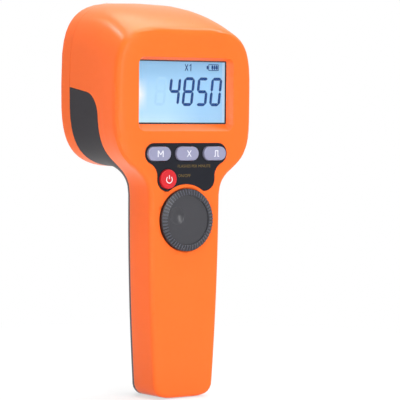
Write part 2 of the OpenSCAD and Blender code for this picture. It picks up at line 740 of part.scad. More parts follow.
// electronics
module main_board() {
    color("#1f6b3a") difference() {
        union() {
            block(-board_half, board_half, board_d0, board_d1, board_mid, board_top);
            block(-board_key_half, board_key_half, board_d0, board_d1, board_neck, board_mid + 1);
            block(-board_low_half, board_low_half, board_d0, board_d1, board_step, board_neck + 1);
            block(-board_tail_half, board_tail_half, board_d0, board_d1, board_low, board_step + 1);
        }
        at_board_screws() rod(0, 0, board_d0 - 1, board_d1 + 1, small_clear_r, 24);
    }
}
module board_chips() {
    base = board_d1 + eps;
    color("#27272a") translate([0, 0, display_z]) {
        block(-chip_side / 2, chip_side / 2, base, base + chip_high, chip_up, chip_up + chip_side);
        block(driver_x, driver_x + driver_side, base, base + chip_high, driver_up, driver_up + driver_side);
        block(-coil_x - coil_side, -coil_x, base, base + coil_high, coil_up, coil_up + coil_side);
        block(-regulator_side / 2, regulator_side / 2, base, base + chip_high, -regulator_drop,
            regulator_side - regulator_drop);
        for (i = [-2:2]) translate([i * small_pitch, 0, -small_drop]) block(-small_side / 2, small_side / 2,
            base, base + chip_high / 2, 0, small_side * 2 / 3);
    }
}
module storage_capacitor() {
    color("#2c3f78") translate([capacitor_x, front_y + board_d1 + capacitor_r + lay_gap,
        display_z - capacitor_drop]) cylinder(r = capacitor_r, h = capacitor_len, $fn = 32);
}
module board_screws() {
    color("#8d8f93") at_board_screws() {
        rod(0, 0, board_d1 + eps, board_d1 + 1.7, small_head_r);
        rod(0, 0, board_d0 - 4, board_d1 + 0.1, small_r, 24);
    }
}
module encoder_body() {
    color("#4b5a52") difference() {
        block(-encoder_half, encoder_half, encoder_d0, board_d0 - eps, knob_z - encoder_half,
            knob_z + encoder_half);
        rod(0, knob_z, encoder_d0 - 1, shaft_d1 + 0.2, shaft_d / 2 + run_gap, 48);
    }
}
module encoder_shaft() {
    color("#b4b6ba") rod(0, knob_z, shaft_d0, shaft_d1, shaft_d / 2, 48);
}
module speed_knob() {
    rim = knob_rise / 2;
    color("#4e4e52") difference() {
        union() {
            translate([0, front_y - rim, knob_z]) rotate([90, 0, 0])
                linear_extrude(knob_rise - rim, scale = knob_top_d / knob_d) polygon([for (j = [0:215])
                    let(q = j * 360 / 216, r = knob_d / 2 - (j % 4 < 2 ? 0 : 0.55)) r * [cos(q), sin(q)]]);
            rod(0, knob_z, -rim - 0.1, knob_base, knob_d / 2 - 0.1, 72);
            rod(0, knob_z, knob_base - 0.1, hub_d1, hub_r);
        }
        rod(0, knob_z, shaft_d0 - lay_gap, hub_d1 + 1, shaft_d / 2 + press_gap, 48);
        translate([-6.3, front_y - knob_rise - 3.1, knob_z + 2]) sphere(4, $fn = 32);
    }
}

// power
module battery_cell() {
    color("#7a3fa0") {
        translate([0, front_y + cell_depth, cell_z0]) cylinder(r = cell_d / 2, h = cell_len - 1.5, $fn = 48);
        translate([0, front_y + cell_depth, cell_z1 - 1.6]) cylinder(r = 3, h = 1.6, $fn = 32);
    }
}
module battery_cradle() {
    a = cell_d / 2 + fit;
    z0 = cell_z0 - contact_gap - cradle_wall;
    z1 = cell_z1 + contact_gap + cradle_wall;
    color("#333336") difference() {
        union() {
            block(-cradle_half, cradle_half, cell_depth - cell_d / 2 - 2.6, cell_depth, z0, z1);
            for (z = [z0 + 6, z1 - 30]) block(-cradle_half + 2, cradle_half - 2, wall + lay_gap,
                cell_depth - cell_d / 2 - 2, z, z + 8);
        }
        translate([0, front_y + cell_depth, cell_z0 - contact_gap])
            cylinder(r = a, h = cell_len + 2 * contact_gap, $fn = 48);
        block(-a, a, cell_depth - 0.5, 40, cell_z0 - contact_gap, cell_z1 + contact_gap);
    }
}
module battery_contacts() {
    thick = 0.4;
    reach_z = contact_gap - thick - lay_gap;
    color("#c8c9cc") {
        for (z = [cell_z0 - contact_gap + lay_gap, cell_z1 + contact_gap - lay_gap - thick])
            block(-4, 4, cell_depth - 4, cell_depth + 3, z, z + thick);
        translate([0, front_y + cell_depth, cell_z0 - reach_z - eps])
            cylinder(r1 = 3.4, r2 = 2.2, h = reach_z, $fn = 32);
        translate([0, front_y + cell_depth, cell_z1 + eps]) cylinder(r1 = 1.4, r2 = 2, h = reach_z, $fn = 32);
    }
}
module charge_board() {
    color("#1f5f6b") block(-charge_half, charge_half, charge_d0, charge_d0 + charge_thick, wall + 0.1,
        charge_top);
}
module usb_socket() {
    color("#c4c6c9") difference() {
        block(-usb_half, usb_half, usb_d - 1.3, charge_d0 - eps, wall + 0.1, wall + 5.4);
        block(0.4 - usb_half, usb_half - 0.4, usb_d - 0.9, charge_d0 - 0.5, wall - 1, wall + 4.6);
    }
}
module usb_tongue() {
    color("#1d1d1f") block(-2.4, 2.4, usb_d - 0.1, usb_d + 0.5, wall + 0.8, wall + 4.6 - eps);
}
module case_screws() {
    top = seam_depth + head_seat;
    color("#6f7175") at_case_screws() difference() {
        union() {
            rod(0, 0, seam_depth - 7, top + 0.1, screw_r, 24);
            rod(0, 0, top + eps, top + 2, screw_head_r);
        }
        cross_slot(top + 1, top + 3);
    }
}
module tripod_bush() {
    color("#c9a24a") difference() {
        union() {
            cylinder(r = bush_r, h = tripod_len + 0.4, $fn = 48);
            cylinder(r = bush_r + bush_lip, h = bush_lip - 0.1, $fn = 48);
        }
        translate([0, 0, -1]) cylinder(r = tripod_d / 2, h = tripod_len + 3, $fn = 48);
    }
}
module lamp_leads() {
    color("#b03030") for (s = [-1, 1]) rod(s * (sink_half + 1.4), lamp_mid_z - 6, board_d1 + eps,
        led_board_d0 - eps, lead_r, 16);
}
module battery_leads() {
    z0 = cell_z0 - 4;
    color("#b03030") for (s = [-1, 1])
        translate([s * (cradle_half + lead_r + 0.4), front_y + board_d0 + lead_r, z0])
            cylinder(r = lead_r, h = board_step - lay_gap - z0, $fn = 16);
}

front_shell();
rear_shell();
lamp_bezel();
lamp_lens();
lens_gasket();
reflector();
led_board();
leds();
heat_sink();
module_screws();
lamp_screws();
display_window();
lcd_glass();
lcd_backlight();
lcd_frame();
zebra_strips();
keypad_panel();
mode_key();
times_key();
pulse_key();
power_key();
mode_plunger();
times_plunger();
pulse_plunger();
power_plunger();
switch_bodies();
main_board();
board_chips();
storage_capacitor();
board_screws();
encoder_body();
encoder_shaft();
speed_knob();
battery_cell();
battery_cradle();
battery_contacts();
charge_board();
usb_socket();
usb_tongue();
case_screws();
tripod_bush();
lamp_leads();
battery_leads();
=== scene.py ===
# %% [markdown]
# # Hand-held stroboscope
# The instrument is a moulded orange head on a grip, with a dark shell behind, a lit display, four
# keys, a fluted speed knob and a lamp at the far end. The solids come from CAD as a fixed frame.
# Here each of them gets its finish, and the pieces that show get the smooth curves, rounded edges
# and printed marks that the solids leave out.

# %% Load the frame
import math

import bpy
from mathutils import Matrix, Quaternion, Vector


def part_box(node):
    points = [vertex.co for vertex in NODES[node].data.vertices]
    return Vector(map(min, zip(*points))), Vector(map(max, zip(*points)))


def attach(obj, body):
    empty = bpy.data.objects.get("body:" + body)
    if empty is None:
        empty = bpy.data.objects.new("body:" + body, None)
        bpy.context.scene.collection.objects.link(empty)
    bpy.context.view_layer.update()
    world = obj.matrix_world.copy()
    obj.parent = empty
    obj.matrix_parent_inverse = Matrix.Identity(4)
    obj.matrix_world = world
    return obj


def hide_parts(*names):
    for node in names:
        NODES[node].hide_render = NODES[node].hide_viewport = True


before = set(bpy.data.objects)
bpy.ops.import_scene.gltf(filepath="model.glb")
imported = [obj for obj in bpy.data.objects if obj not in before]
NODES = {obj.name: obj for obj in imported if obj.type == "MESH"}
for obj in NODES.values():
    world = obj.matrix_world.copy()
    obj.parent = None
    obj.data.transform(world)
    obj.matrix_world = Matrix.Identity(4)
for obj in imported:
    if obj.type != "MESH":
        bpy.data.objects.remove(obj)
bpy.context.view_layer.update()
MM = 0.001
scene = bpy.context.scene
scene.view_settings.view_transform = "Standard"
print("solids in the frame:", len(NODES))

# %% [markdown]
# ## Camera
# The picture looks at the display from the left, almost level and from more than a metre away, so
# edges hardly converge. The camera stands on the line that was found from the outline, and is then
# turned until one point of the front falls on its own pixel. A shift of the lens would do that too,
# but it would push every other view off centre.

# %% Camera
PICTURE = 400.0
SENSOR = 36.0
FOCUS = 2258.8
YAW = math.radians(35.32)
DIP = math.radians(0.5)
ROLL = math.radians(0.5)
FRONT_Y = -11.0
ANCHOR = Vector((0.0, FRONT_Y, 155.6)) * MM
ANCHOR_PIXEL = (186.7, 124.7)
AWAY = 1282.8 * MM
NEAREST = 0.05
ahead = Vector((math.sin(YAW) * math.cos(DIP), math.cos(YAW) * math.cos(DIP), -math.sin(DIP)))
right = Vector((math.cos(YAW), -math.sin(YAW), 0.0))
above = right.cross(ahead)
camera = bpy.data.objects.new("camera", bpy.data.cameras.new("camera"))
scene.collection.objects.link(camera)
camera.data.sensor_width = SENSOR
camera.data.lens = FOCUS * SENSOR / PICTURE
camera.data.clip_start = NEAREST
camera.location = ANCHOR - AWAY * ahead
aside = PICTURE / 2 - ANCHOR_PIXEL[0]
below = PICTURE / 2 - ANCHOR_PIXEL[1]
gaze = ahead * FOCUS + right * (aside + ROLL * below) - above * (below - ROLL * aside)
camera.rotation_mode = "QUATERNION"
camera.rotation_quaternion = gaze.to_track_quat("-Z", "Y") @ Quaternion((0.0, 0.0, 1.0), ROLL)
scene.camera = camera
print("camera at", [round(value, 3) for value in camera.location])

# %% [markdown]
# ## Shader sums
# A finish is a small network of shader nodes. Written as sums it is easier to read than as nodes
# that are linked one by one, so one class stands for a socket. Plus, minus, times, divide and
# compare add Math nodes, and the node method makes any other node. The reflected forms let a plain
# number come first, as in 1 - mask.

# %% Sockets that can be added and multiplied
class Wire:
    """One socket of a node tree."""

    def __init__(self, tree, socket=None):
        self.tree = tree
        self.socket = socket

    def node(self, kind, inputs=None, out=0, stops=None, **settings):
        """Any node: its settings first, then the values or links of its sockets."""
        made = self.tree.nodes.new(kind)
        for name, value in settings.items():
            setattr(made, name, value)
        if stops:
            elements = made.color_ramp.elements
            elements[0].position, elements[0].color = stops[0]
            elements[1].position, elements[1].color = stops[-1]
            for place, colour in stops[1:-1]:
                elements.new(place).color = colour
        for name, value in (inputs or {}).items():
            if isinstance(value, Wire):
                self.tree.links.new(value.socket, made.inputs[name])
            else:
                made.inputs[name].default_value = value
        return Wire(self.tree, made.outputs[out])

    def math(self, operation, *values):
        return self.node("ShaderNodeMath", dict(enumerate(values)), operation=operation)

    def __add__(self, other):
        return self.math("ADD", self, other)

    def __sub__(self, other):
        return self.math("SUBTRACT", self, other)

    def __rsub__(self, other):
        return self.math("SUBTRACT", other, self)

    def __mul__(self, other):
        return self.math("MULTIPLY", self, other)

    def __truediv__(self, other):
        return self.math("DIVIDE", self, other)

    def __gt__(self, other):
        return self.math("GREATER_THAN", self, other)

    def __lt__(self, other):
        return self.math("LESS_THAN", self, other)

    __radd__ = __add__
    __rmul__ = __mul__

    def clamped(self):
        return self.node("ShaderNodeClamp", {0: self})

    def mix(self, first, second):
        """Two colours, mixed by this value."""
        return self.node("ShaderNodeMix", {0: self, 6: first, 7: second}, out=2, data_type="RGBA")

    def axis(self, index):
        return self.node("ShaderNodeSeparateXYZ", {0: self}, out=index)


print("shader sums are ready")

# %% [markdown]
# Colours are written as a picture editor shows them, because such numbers are easy to compare.
# Blender works in linear light, so they are converted first. One function makes every material:
# what varies over the surface goes in as nodes, and what is plain is set on the shader itself.

# %% Colours and materials
WHITE = (1.0, 1.0, 1.0, 1.0)
BLACK = (0.0, 0.0, 0.0, 1.0)


def rgb(red, green, blue):
    """A colour as a picture editor gives it, from 0 to 255, made linear."""
    parts = [value / 255.0 for value in (red, green, blue)]
    parts = [value / 12.92 if value <= 0.04045 else ((value + 0.055) / 1.055) ** 2.4
             for value in parts]
    return (*parts, 1.0)


def finish(name, paint, fixed=None):
    """A material: paint gives what changes over the surface, fixed gives the plain values."""
    material = bpy.data.materials.new(name)
    material.use_nodes = True
    tree = material.node_tree
    shader = tree.nodes["Principled BSDF"]
    for socket, value in (fixed or {}).items():
        shader.inputs[socket].default_value = value
    place = Wire(tree).node("ShaderNodeTexCoord", out="Object")
    for socket, wire in paint(place).items():
        tree.links.new(wire.socket, shader.inputs[socket])
    return material


print("middle grey is", round(rgb(128, 128, 128)[0], 3), "as light")

# %% [markdown]
# ## White surroundings
# The photograph has the flat light and the pure white ground of a paper sweep. More light would
# make the ground white too, but it would bleach the object. So the world is white only to the rays
# that show it, straight or in a reflection, and is dimmer as a light.

# %% World
RAYS = ("Is Camera Ray", "Is Glossy Ray", "Is Transmission Ray")
WORLD_LIGHT = 0.41


def showing(wire):
    """1 for the rays that show the surroundings, 0 for those that light the object."""
    straight, mirrored, through = [wire.node("ShaderNodeLightPath", out=kind) for kind in RAYS]
    return (straight + mirrored + through).clamped()


world = bpy.data.worlds.new("white_sweep")
world.use_nodes = True
scene.world = world
seen = showing(Wire(world.node_tree))
strength = seen + (1.0 - seen) * WORLD_LIGHT
background = world.node_tree.nodes["Background"]
background.inputs["Color"].default_value = WHITE
world.node_tree.links.new(strength.socket, background.inputs["Strength"])
print("the world lights the object with", WORLD_LIGHT)

# %% [markdown]
# ## Lamps
# A large box overhead and a tall strip in front do most of the work. The others are there for what
# they show: a smooth surface mirrors a lamp where its normal lies halfway between lamp and camera.
# The small box at the right shows in the lip under the display, and the narrow strip at the left in
# the knob's dish. The last two have a grid, which narrows their beam. They show in the right wall
# of the display's recess and along the head's left shoulder, and hardly light the rest.

# %% Lamps
def soft_box(name, place, aim, width, height, watts, spread):
    """A rectangular lamp at place, turned to aim, with a beam this many degrees wide."""
    lamp = bpy.data.lights.new(name, "AREA")
    lamp.shape = "RECTANGLE"
    lamp.size = width
    lamp.size_y = height
    lamp.energy = watts
    lamp.spread = math.radians(spread)
    made = bpy.data.objects.new(name, lamp)
    made.location = place
    made.rotation_mode = "QUATERNION"
    made.rotation_quaternion = (Vector(aim) - Vector(place)).to_track_quat("-Z", "Y")
    scene.collection.objects.link(made)


OPEN = 180.0
GRID = 6.0
MIDDLE = (0.0, 0.0, 0.12)
RECESS_WALL = (0.031, -0.013, 0.178)
SHOULDER = (-0.0395, 0.0, 0.2075)
LAMPS = {
    "overhead_box": ((0.07, 0.1, 1.15), MIDDLE, 0.7, 1.4, 13.8, OPEN),
    "front_strip": ((0.05, -1.3, 0.6), MIDDLE, 0.4, 1.2, 8.6, OPEN),
    "right_box": ((0.74, -0.06, 1.12), MIDDLE, 0.3, 0.4, 4.6, OPEN),
    "left_strip": ((-0.85, -0.9, 0.3), MIDDLE, 0.09, 0.7, 1.9, OPEN),
    "grid_strip": ((-1.2, -0.3, 0.2), RECESS_WALL, 0.06, 0.3, 0.011, GRID),
    "grid_box": ((-0.35, 0.71, 1.12), SHOULDER, 0.12, 0.12, 0.008, GRID),
}
for name, lamp in LAMPS.items():
    soft_box(name, *lamp)
print("studio lamps:", len(LAMPS))

# %% [markdown]
# ## Floor
# The floor is plain pale paper that keeps the soft shadow under the grip. To the rays that show it,
# it turns pure white away from the object, so that it joins the white world without a line.

# %% Floor
FLOOR_SIZE = 6.0
FLOOR_Z = -0.0004
PAPER_SHADES = ((0.88, 0.88, 0.88, 1.0), (0.9, 0.9, 0.9, 1.0))
PAPER_PATCHES = 30.0
WHITE_HERE = 0.62
WHITE_PER_METRE = 0.9


def fibres(place):
    """Paper of two close shades."""
    patches = place.node("ShaderNodeTexNoise", {"Vector": place, "Scale": PAPER_PATCHES})
    return {"Base Color": patches.mix(*PAPER_SHADES)}


bpy.ops.mesh.primitive_plane_add(size=FLOOR_SIZE, location=(0.0, 0.0, FLOOR_Z))
floor = bpy.context.object
floor.name = "floor"
paper = finish("pale_paper", fibres, {"Roughness": 0.9})
floor.data.materials.append(paper)
tree = paper.node_tree
sheet = Wire(tree)
spot = sheet.node("ShaderNodeTexCoord", out="Object")
away = sheet.node("ShaderNodeVectorMath", {0: spot}, out="Value", operation="LENGTH")
fade = (WHITE_HERE + away * WHITE_PER_METRE).clamped() * showing(sheet)
glow = sheet.node("ShaderNodeEmission", {"Color": WHITE, "Strength": 1.0})
plain = Wire(tree, tree.nodes["Principled BSDF"].outputs[0])
both = sheet.node("ShaderNodeMixShader", {0: fade, 1: plain, 2: glow})
tree.links.new(both.socket, tree.nodes["Material Output"].inputs["Surface"])
print("floor", FLOOR_SIZE, "m wide")

# %% [markdown]
# ## Moulded plastics
# A moulded case is never one flat colour. The mould leaves a fine grain that breaks up the shine,
# and the pigment varies a little over a few centimetres. A photographed texture would show this
# too, but it would need a file and a fixed scale. So each plastic is two close shades mixed by
# broad noise, with a fine grain in the bump and in the roughness. The lines that make the plastics
# give two shades, a roughness and, where the usual grain does not fit, its size and depth in
# millimetres.

# %% Noise, bump and moulded plastic
PIGMENT = 16.0


def noise(place, size, detail=2.0):
    """Noise whose grains are about this many millimetres."""
    scale = 1.0 / (size * MM)
    return place.node("ShaderNodeTexNoise", {"Vector": place, "Scale": scale, "Detail": detail})


def bump(place, height, depth, strength=0.5):
    """A normal that follows this height, for a relief of this depth in millimetres."""
    return place.node("ShaderNodeBump", {
        "Strength": strength, "Distance": depth * MM, "Height": height})


def moulded(light, dark, rough, grain=0.45, depth=0.012, spread=0.1):
    """Two close shades, a roughness that varies by spread, and a grain of this size and depth."""
    def paint(place):
        grit = noise(place, grain)
        patches = noise(place, PIGMENT, 3.0)
        return {
            "Base Color": patches.mix(light, dark),
            "Roughness": rough + spread * (grit - 0.5),
            "Normal": bump(place, grit, depth),
        }
    return paint


def plastic(name, *look, shine=0.28):
    """A moulded plastic with the weak gloss of a grained surface."""
    return finish(name, moulded(*look), {"Specular IOR Level": shine})


print("pigment varies over", PIGMENT, "mm")

# %% Plastics outside
orange_plastic = plastic(
    "orange_plastic", (0.98, 0.156, 0.023, 1.0), (0.97, 0.15, 0.021, 1.0), 0.3, 0.8, 0.002,
    shine=0.15)
dark_plastic = plastic(
    "dark_plastic", rgb(40, 36, 42), rgb(35, 31, 37), 0.44, 0.6, 0.008, shine=0.22)
panel_black = plastic(
    "panel_black", rgb(26, 28, 36), rgb(22, 24, 31), 0.42, 0.25, 0.004, shine=0.16)
key_lavender = plastic("key_lavender", rgb(143, 144, 171), rgb(137, 138, 165), 0.38, 0.3, 0.004)
key_red = plastic("key_red", rgb(203, 34, 43), rgb(195, 30, 38), 0.34, 0.3, 0.004)
mark_white = plastic("mark_white", rgb(226, 226, 232), rgb(220, 220, 226), 0.5, 0.15, 0.001)
mark_gold = plastic("mark_gold", rgb(112, 92, 44), rgb(102, 84, 38), 0.45, 0.15, 0.001)
gasket_rubber = plastic("gasket_rubber", rgb(38, 38, 40), rgb(32, 32, 34), 0.7, 0.3, 0.006)
print("finishes so far:", len(bpy.data.materials))

# %% [markdown]
# The pieces inside only show when the case is opened: the display's frame, the switches, the cell
# and its leads. They get the colours that such parts usually have. The lamp's yellow phosphor also
# glows a little, as it does in any room light.

# %% Plastics inside
frame_plastic = plastic("frame_plastic", rgb(228, 228, 224), rgb(218, 218, 214), 0.5)
switch_black = plastic("switch_black", rgb(34, 34, 36), rgb(28, 28, 30), 0.45, 0.2, 0.004)
plunger_brown = plastic("plunger_brown", rgb(116, 74, 46), rgb(104, 66, 42), 0.4, 0.2, 0.004)
encoder_case = plastic("encoder_case", rgb(74, 90, 82), rgb(66, 82, 74), 0.45)
cell_wrap = plastic("cell_wrap", rgb(122, 62, 160), rgb(112, 56, 150), 0.3, 0.8, 0.004)
lead_insulation = plastic("lead_insulation", rgb(176, 44, 44), rgb(160, 38, 38), 0.4, 0.3, 0.004)
zebra_rubber = plastic("zebra_rubber", rgb(216, 140, 150), rgb(60, 50, 54), 0.6, 0.2, 0.004)
capacitor_sleeve = plastic(
    "capacitor_sleeve", rgb(40, 60, 118), rgb(34, 52, 104), 0.32, 0.5, 0.003)
chip_black = plastic("chip_black", rgb(36, 36, 38), rgb(30, 30, 32), 0.55, 0.15, 0.004)
led_board_white = plastic(
    "led_board_white", rgb(238, 240, 240), rgb(228, 230, 230), 0.35, 0.5, 0.003)
backlight_white = plastic(
    "backlight_white", rgb(244, 246, 248), rgb(232, 236, 242), 0.3, 0.6, 0.002)
led_phosphor = finish(
    "led_phosphor", moulded(rgb(255, 242, 176), rgb(252, 234, 150), 0.3, 0.4, 0.003),
    {"Emission Color": rgb(255, 240, 170), "Emission Strength": 0.5})
print("finishes so far:", len(bpy.data.materials))

# %% [markdown]
# ## Metals
# Turned, drawn and rolled metal keeps the fine scratches of its making, which run one way. Noise
# that is stretched along one axis gives them, in the colour and in the roughness. Modelling the
# scratches would cost many faces and show nothing more.

# %% Metals
METAL = {"Metallic": 1.0}
ALONG_X = (1.0, 30.0, 30.0)
ALONG_Y = (30.0, 1.0, 30.0)
ALONG_Z = (30.0, 30.0, 1.0)
FINE_SPECKS = (20.0, 20.0, 20.0)
BROAD_SPECKS = (2.0, 2.0, 2.0)
SCRATCH = 6.0
SCRATCH_SPREAD = 0.16


def metal(name, light, dark, rough, stretch=ALONG_X):
    """A metal of two close shades, with scratches or specks by how the noise is stretched."""
    def paint(place):
        stretched = place.node("ShaderNodeMapping", {"Vector": place, "Scale": stretch})
        lines = noise(stretched, SCRATCH, 4.0)
        return {
            "Base Color": lines.mix(light, dark),
            "Roughness": rough + SCRATCH_SPREAD * (lines - 0.5),
        }
    return finish(name, paint, METAL)


sink_aluminium = metal("sink_aluminium", rgb(196, 198, 202), rgb(176, 178, 182), 0.36)
screw_steel = metal("screw_steel", rgb(152, 154, 158), rgb(126, 128, 132), 0.34, FINE_SPECKS)
shaft_steel = metal("shaft_steel", rgb(186, 188, 192), rgb(160, 162, 166), 0.28, ALONG_Y)
contact_plate = metal("contact_plate", rgb(206, 206, 208), rgb(186, 186, 190), 0.26)
usb_shell = metal("usb_shell", rgb(202, 204, 208), rgb(180, 182, 186), 0.3, ALONG_Z)
bush_brass = metal("bush_brass", rgb(214, 176, 92), rgb(190, 150, 70), 0.3, ALONG_Z)
reflector_metallised = metal(
    "reflector_metallised", rgb(232, 234, 238), rgb(218, 220, 226), 0.12, BROAD_SPECKS)
print("finishes so far:", len(bpy.data.materials))

# %% [markdown]
# ## Circuit boards and clear plastic
# A circuit board is green varnish over copper, whose runs show as paler lines, so a brick pattern
# with thin joints stands for them. The window and the lamp's lens are clear acrylic. They let light
# through, and a faint haze in the roughness keeps them from looking like nothing at all.

# %% Boards and clear plastic
RUN_SCALE = 90.0
RUN_WIDTH = 0.03
RUN_GREEN = rgb(52, 136, 78)
VARNISH = {"Color1": rgb(30, 104, 58), "Color2": rgb(28, 98, 54)}
VARNISH_ROUGH = 0.35
VARNISH_SPREAD = 0.1
VARNISH_GRAIN = 0.4
CLEAR_ROUGH = 0.02
HAZE = 0.03
HAZE_PATCHES = 9.0


def laminate(place):
    """A printed circuit board: green varnish over faint copper runs."""
    upright_board = place.node("ShaderNodeMapping", {
        "Vector": place, "Rotation": (math.radians(90.0), 0.0, 0.0)})
    runs = place.node("ShaderNodeTexBrick", {
        "Vector": upright_board, "Scale": RUN_SCALE, "Mortar Size": RUN_WIDTH,
        "Mortar": RUN_GREEN, **VARNISH})
    rough = VARNISH_ROUGH + VARNISH_SPREAD * (noise(place, VARNISH_GRAIN) - 0.5)
    return {"Base Color": runs, "Roughness": rough}


def clear_plastic(place):
    """Clear acrylic with the faintest haze."""
    return {"Roughness": CLEAR_ROUGH + HAZE * noise(place, HAZE_PATCHES)}


CLEAR = {"Base Color": (0.97, 0.98, 1.0, 1.0), "Transmission Weight": 1.0, "IOR": 1.45}
THIN_SHEET = {**CLEAR, "IOR": 1.2}
board_green = finish("board_green", laminate)
window_clear = finish("window_clear", clear_plastic, THIN_SHEET)
lens_clear = finish("lens_clear", clear_plastic, CLEAR)
print("finishes so far:", len(bpy.data.materials))

# %% [markdown]
# ## The moulded shells
# The two shells and the lamp ring are made of the CAD surface, because their shape is already right
# and the seams between them are narrow. A CAD mesh is loose triangles, so each is copied, its
# doubles are merged and its flat faces are made whole again. Smooth shading then rounds the
# curves, and weighted normals keep the flat faces flat.

# %% Copies of CAD pieces
DOUBLES = 0.002


def only(piece):
    """Selects this piece alone."""
    bpy.ops.object.select_all(action="DESELECT")
    piece.select_set(True)
    bpy.context.view_layer.objects.active = piece


def copy_of(node, name, flat):
    """A new piece with its own merged copy of a CAD mesh, whole where it bends less than flat."""
    piece = bpy.data.objects.new(name, NODES[node].data.copy())
    scene.collection.objects.link(piece)
    only(piece)
    bpy.ops.object.mode_set(mode="EDIT")
    bpy.ops.mesh.select_all(action="SELECT")
    bpy.ops.mesh.remove_doubles(threshold=DOUBLES * MM)
    bpy.ops.mesh.dissolve_limited(angle_limit=math.radians(flat))
    bpy.ops.object.mode_set(mode="OBJECT")
    return piece


def apply_modifier(piece, kind, **settings):
    """Adds a modifier with these settings and applies it."""
    only(piece)
    made = piece.modifiers.new(kind.lower(), kind)
    for name, value in settings.items():
        setattr(made, name, value)
    bpy.ops.object.modifier_apply(modifier=made.name)


def smooth(piece, angle):
    """Smooth shading that keeps flat faces, and edges that are sharper than the angle."""
    only(piece)
    bpy.ops.object.shade_smooth_by_angle(angle=math.radians(angle))
    apply_modifier(piece, "WEIGHTED_NORMAL", keep_sharp=True, weight=50)


print("doubles are merged within", DOUBLES, "mm")

# %% Shells and lamp ring
def wear(piece, material):
    """Gives a piece this one material."""
    piece.data.materials.clear()
    piece.data.materials.append(material)


def settle(piece, body, slot, *nodes):
    """The piece rides on its body and stands for these CAD nodes. Its slot is not used."""
    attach(piece, body)
    if nodes:
        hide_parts(*nodes)


SHELL_FLAT = 0.02
SHELL_SMOOTH = 14.0
SHELLS = {
    "front_shell": ("front_case", orange_plastic, "orange_plastic"),
    "rear_shell": ("rear_case", dark_plastic, "dark_plastic"),
    "lamp_bezel": ("lamp_ring", orange_plastic, "orange_plastic"),
}
for node, (name, material, slot) in SHELLS.items():
    shell = copy_of(node, name, SHELL_FLAT)
    smooth(shell, SHELL_SMOOTH)
    wear(shell, material)
    settle(shell, "case", slot, node)
    print(name, len(shell.data.polygons), "faces")

# %% [markdown]
# ## Modelling by hand
# Small pieces start from a primitive and are shaped in edit mode. An operator works on what is
# selected, so a helper first selects faces by their place and normal. Sizes are written in
# millimetres, as on a drawing.

# %% Starting a piece
def start(kind, name, place, turn=(0.0, 0.0, 0.0), **sizes):
    """A primitive at its place, with the place in its mesh."""
    bpy.ops.object.select_all(action="DESELECT")
    add = getattr(bpy.ops.mesh, "primitive_" + kind + "_add")
    add(location=Vector(place) * MM, rotation=turn, **sizes)
    piece = bpy.context.object
    piece.name = name
    bpy.ops.object.transform_apply(location=True, rotation=True, scale=True)
    return piece


def block(name, low, high):
    """A cube stretched between two corners."""
    low, high = Vector(low), Vector(high)
    return start("cube", name, (low + high) / 2, size=1.0, scale=(high - low) * MM)


def corners(node):
    """The box of a CAD node in millimetres."""
    return [Vector(corner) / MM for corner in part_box(node)]


print("the knob's box starts at", [round(value, 2) for value in corners("speed_knob")[0]], "mm")

# %% Selecting and shaping
SQUARE = 0.9
WELD = 0.001


def pick(piece, test):
    """Edit mode, with only the faces selected whose middle and normal pass the test."""
    only(piece)
    bpy.ops.object.mode_set(mode="EDIT")
    bpy.ops.mesh.select_mode(type="FACE")
    bpy.ops.mesh.select_all(action="DESELECT")
    bpy.ops.object.mode_set(mode="OBJECT")
    for face in piece.data.polygons:
        face.select = test(face.center / MM, face.normal)
    bpy.ops.object.mode_set(mode="EDIT")


def looks_forward(middle, normal):
    """Whether a face looks to the front."""
    return normal.y < -SQUARE


def done():
    """Leaves edit mode."""
    bpy.ops.object.mode_set(mode="OBJECT")


def push(*step):
    """Extrudes the selected faces by this step."""
    bpy.ops.mesh.extrude_region_move(TRANSFORM_OT_translate={"value": Vector(step) * MM})


def shift(*step):
    """Moves the selected faces by this step."""
    bpy.ops.transform.translate(value=Vector(step) * MM)


def clean(piece):
    """Merges doubles and turns all faces outwards."""
    only(piece)
    bpy.ops.object.mode_set(mode="EDIT")
    bpy.ops.mesh.select_all(action="SELECT")
    bpy.ops.mesh.remove_doubles(threshold=WELD * MM)
    bpy.ops.mesh.normals_make_consistent(inside=False)
    done()


print("helpers for modelling are ready")

# %% [markdown]
# ## Speed knob
# The knob is a moulded cap with a fluted rim, a sunk flat disc and a dish for a fingertip. Flutes
# in the bump alone would vanish at the outline, so they are modelled. A cylinder has two faces to
# each flute. Its front is inset and pulled forward to make the sloping rim, then inset again and
# sunk for the disc, whose own edge is eased.

# %% Knob cap
RIBS = 54
DISC_R = 14.1
CREST = 0.35
SUNK = 0.7
EASE = 0.2
EASE_RISE = 0.12
RIB_ROOM = 0.12
RIM_DROP = 1.55
CREST_DROP = 0.32
SKIRT_Y = -10.3
knob_low, knob_high = corners("speed_knob")
knob_middle = (knob_low + knob_high) / 2
knob_r = (knob_high.x - knob_low.x) / 2 - RIB_ROOM
rim_y = knob_low.y + RIM_DROP
crest_y = knob_low.y + CREST_DROP
knob = start(
    "cylinder", "fluted_knob", (0.0, (rim_y + SKIRT_Y) / 2, knob_middle.z),
    (math.radians(90.0), 0.0, 0.0), vertices=2 * RIBS, radius=knob_r * MM,
    depth=(SKIRT_Y - rim_y) * MM)
pick(knob, looks_forward)
bpy.ops.mesh.inset(thickness=(knob_r - DISC_R - CREST) * MM)
shift(0.0, crest_y - rim_y, 0.0)
bpy.ops.mesh.inset(thickness=CREST * MM)
push(0.0, SUNK, 0.0)
bpy.ops.mesh.inset(thickness=EASE * MM)
shift(0.0, -EASE_RISE, 0.0)
done()
print("knob radius", round(knob_r, 2), "mm")

# %% [markdown]
# Every other face of the sloping rim becomes a rib: it is inset on its own and raised. At the back
# the hub is pushed out and the hole for the shaft is pushed in. A large ball then cuts the dish,
# because a shallow round hollow is hard to draw with faces.

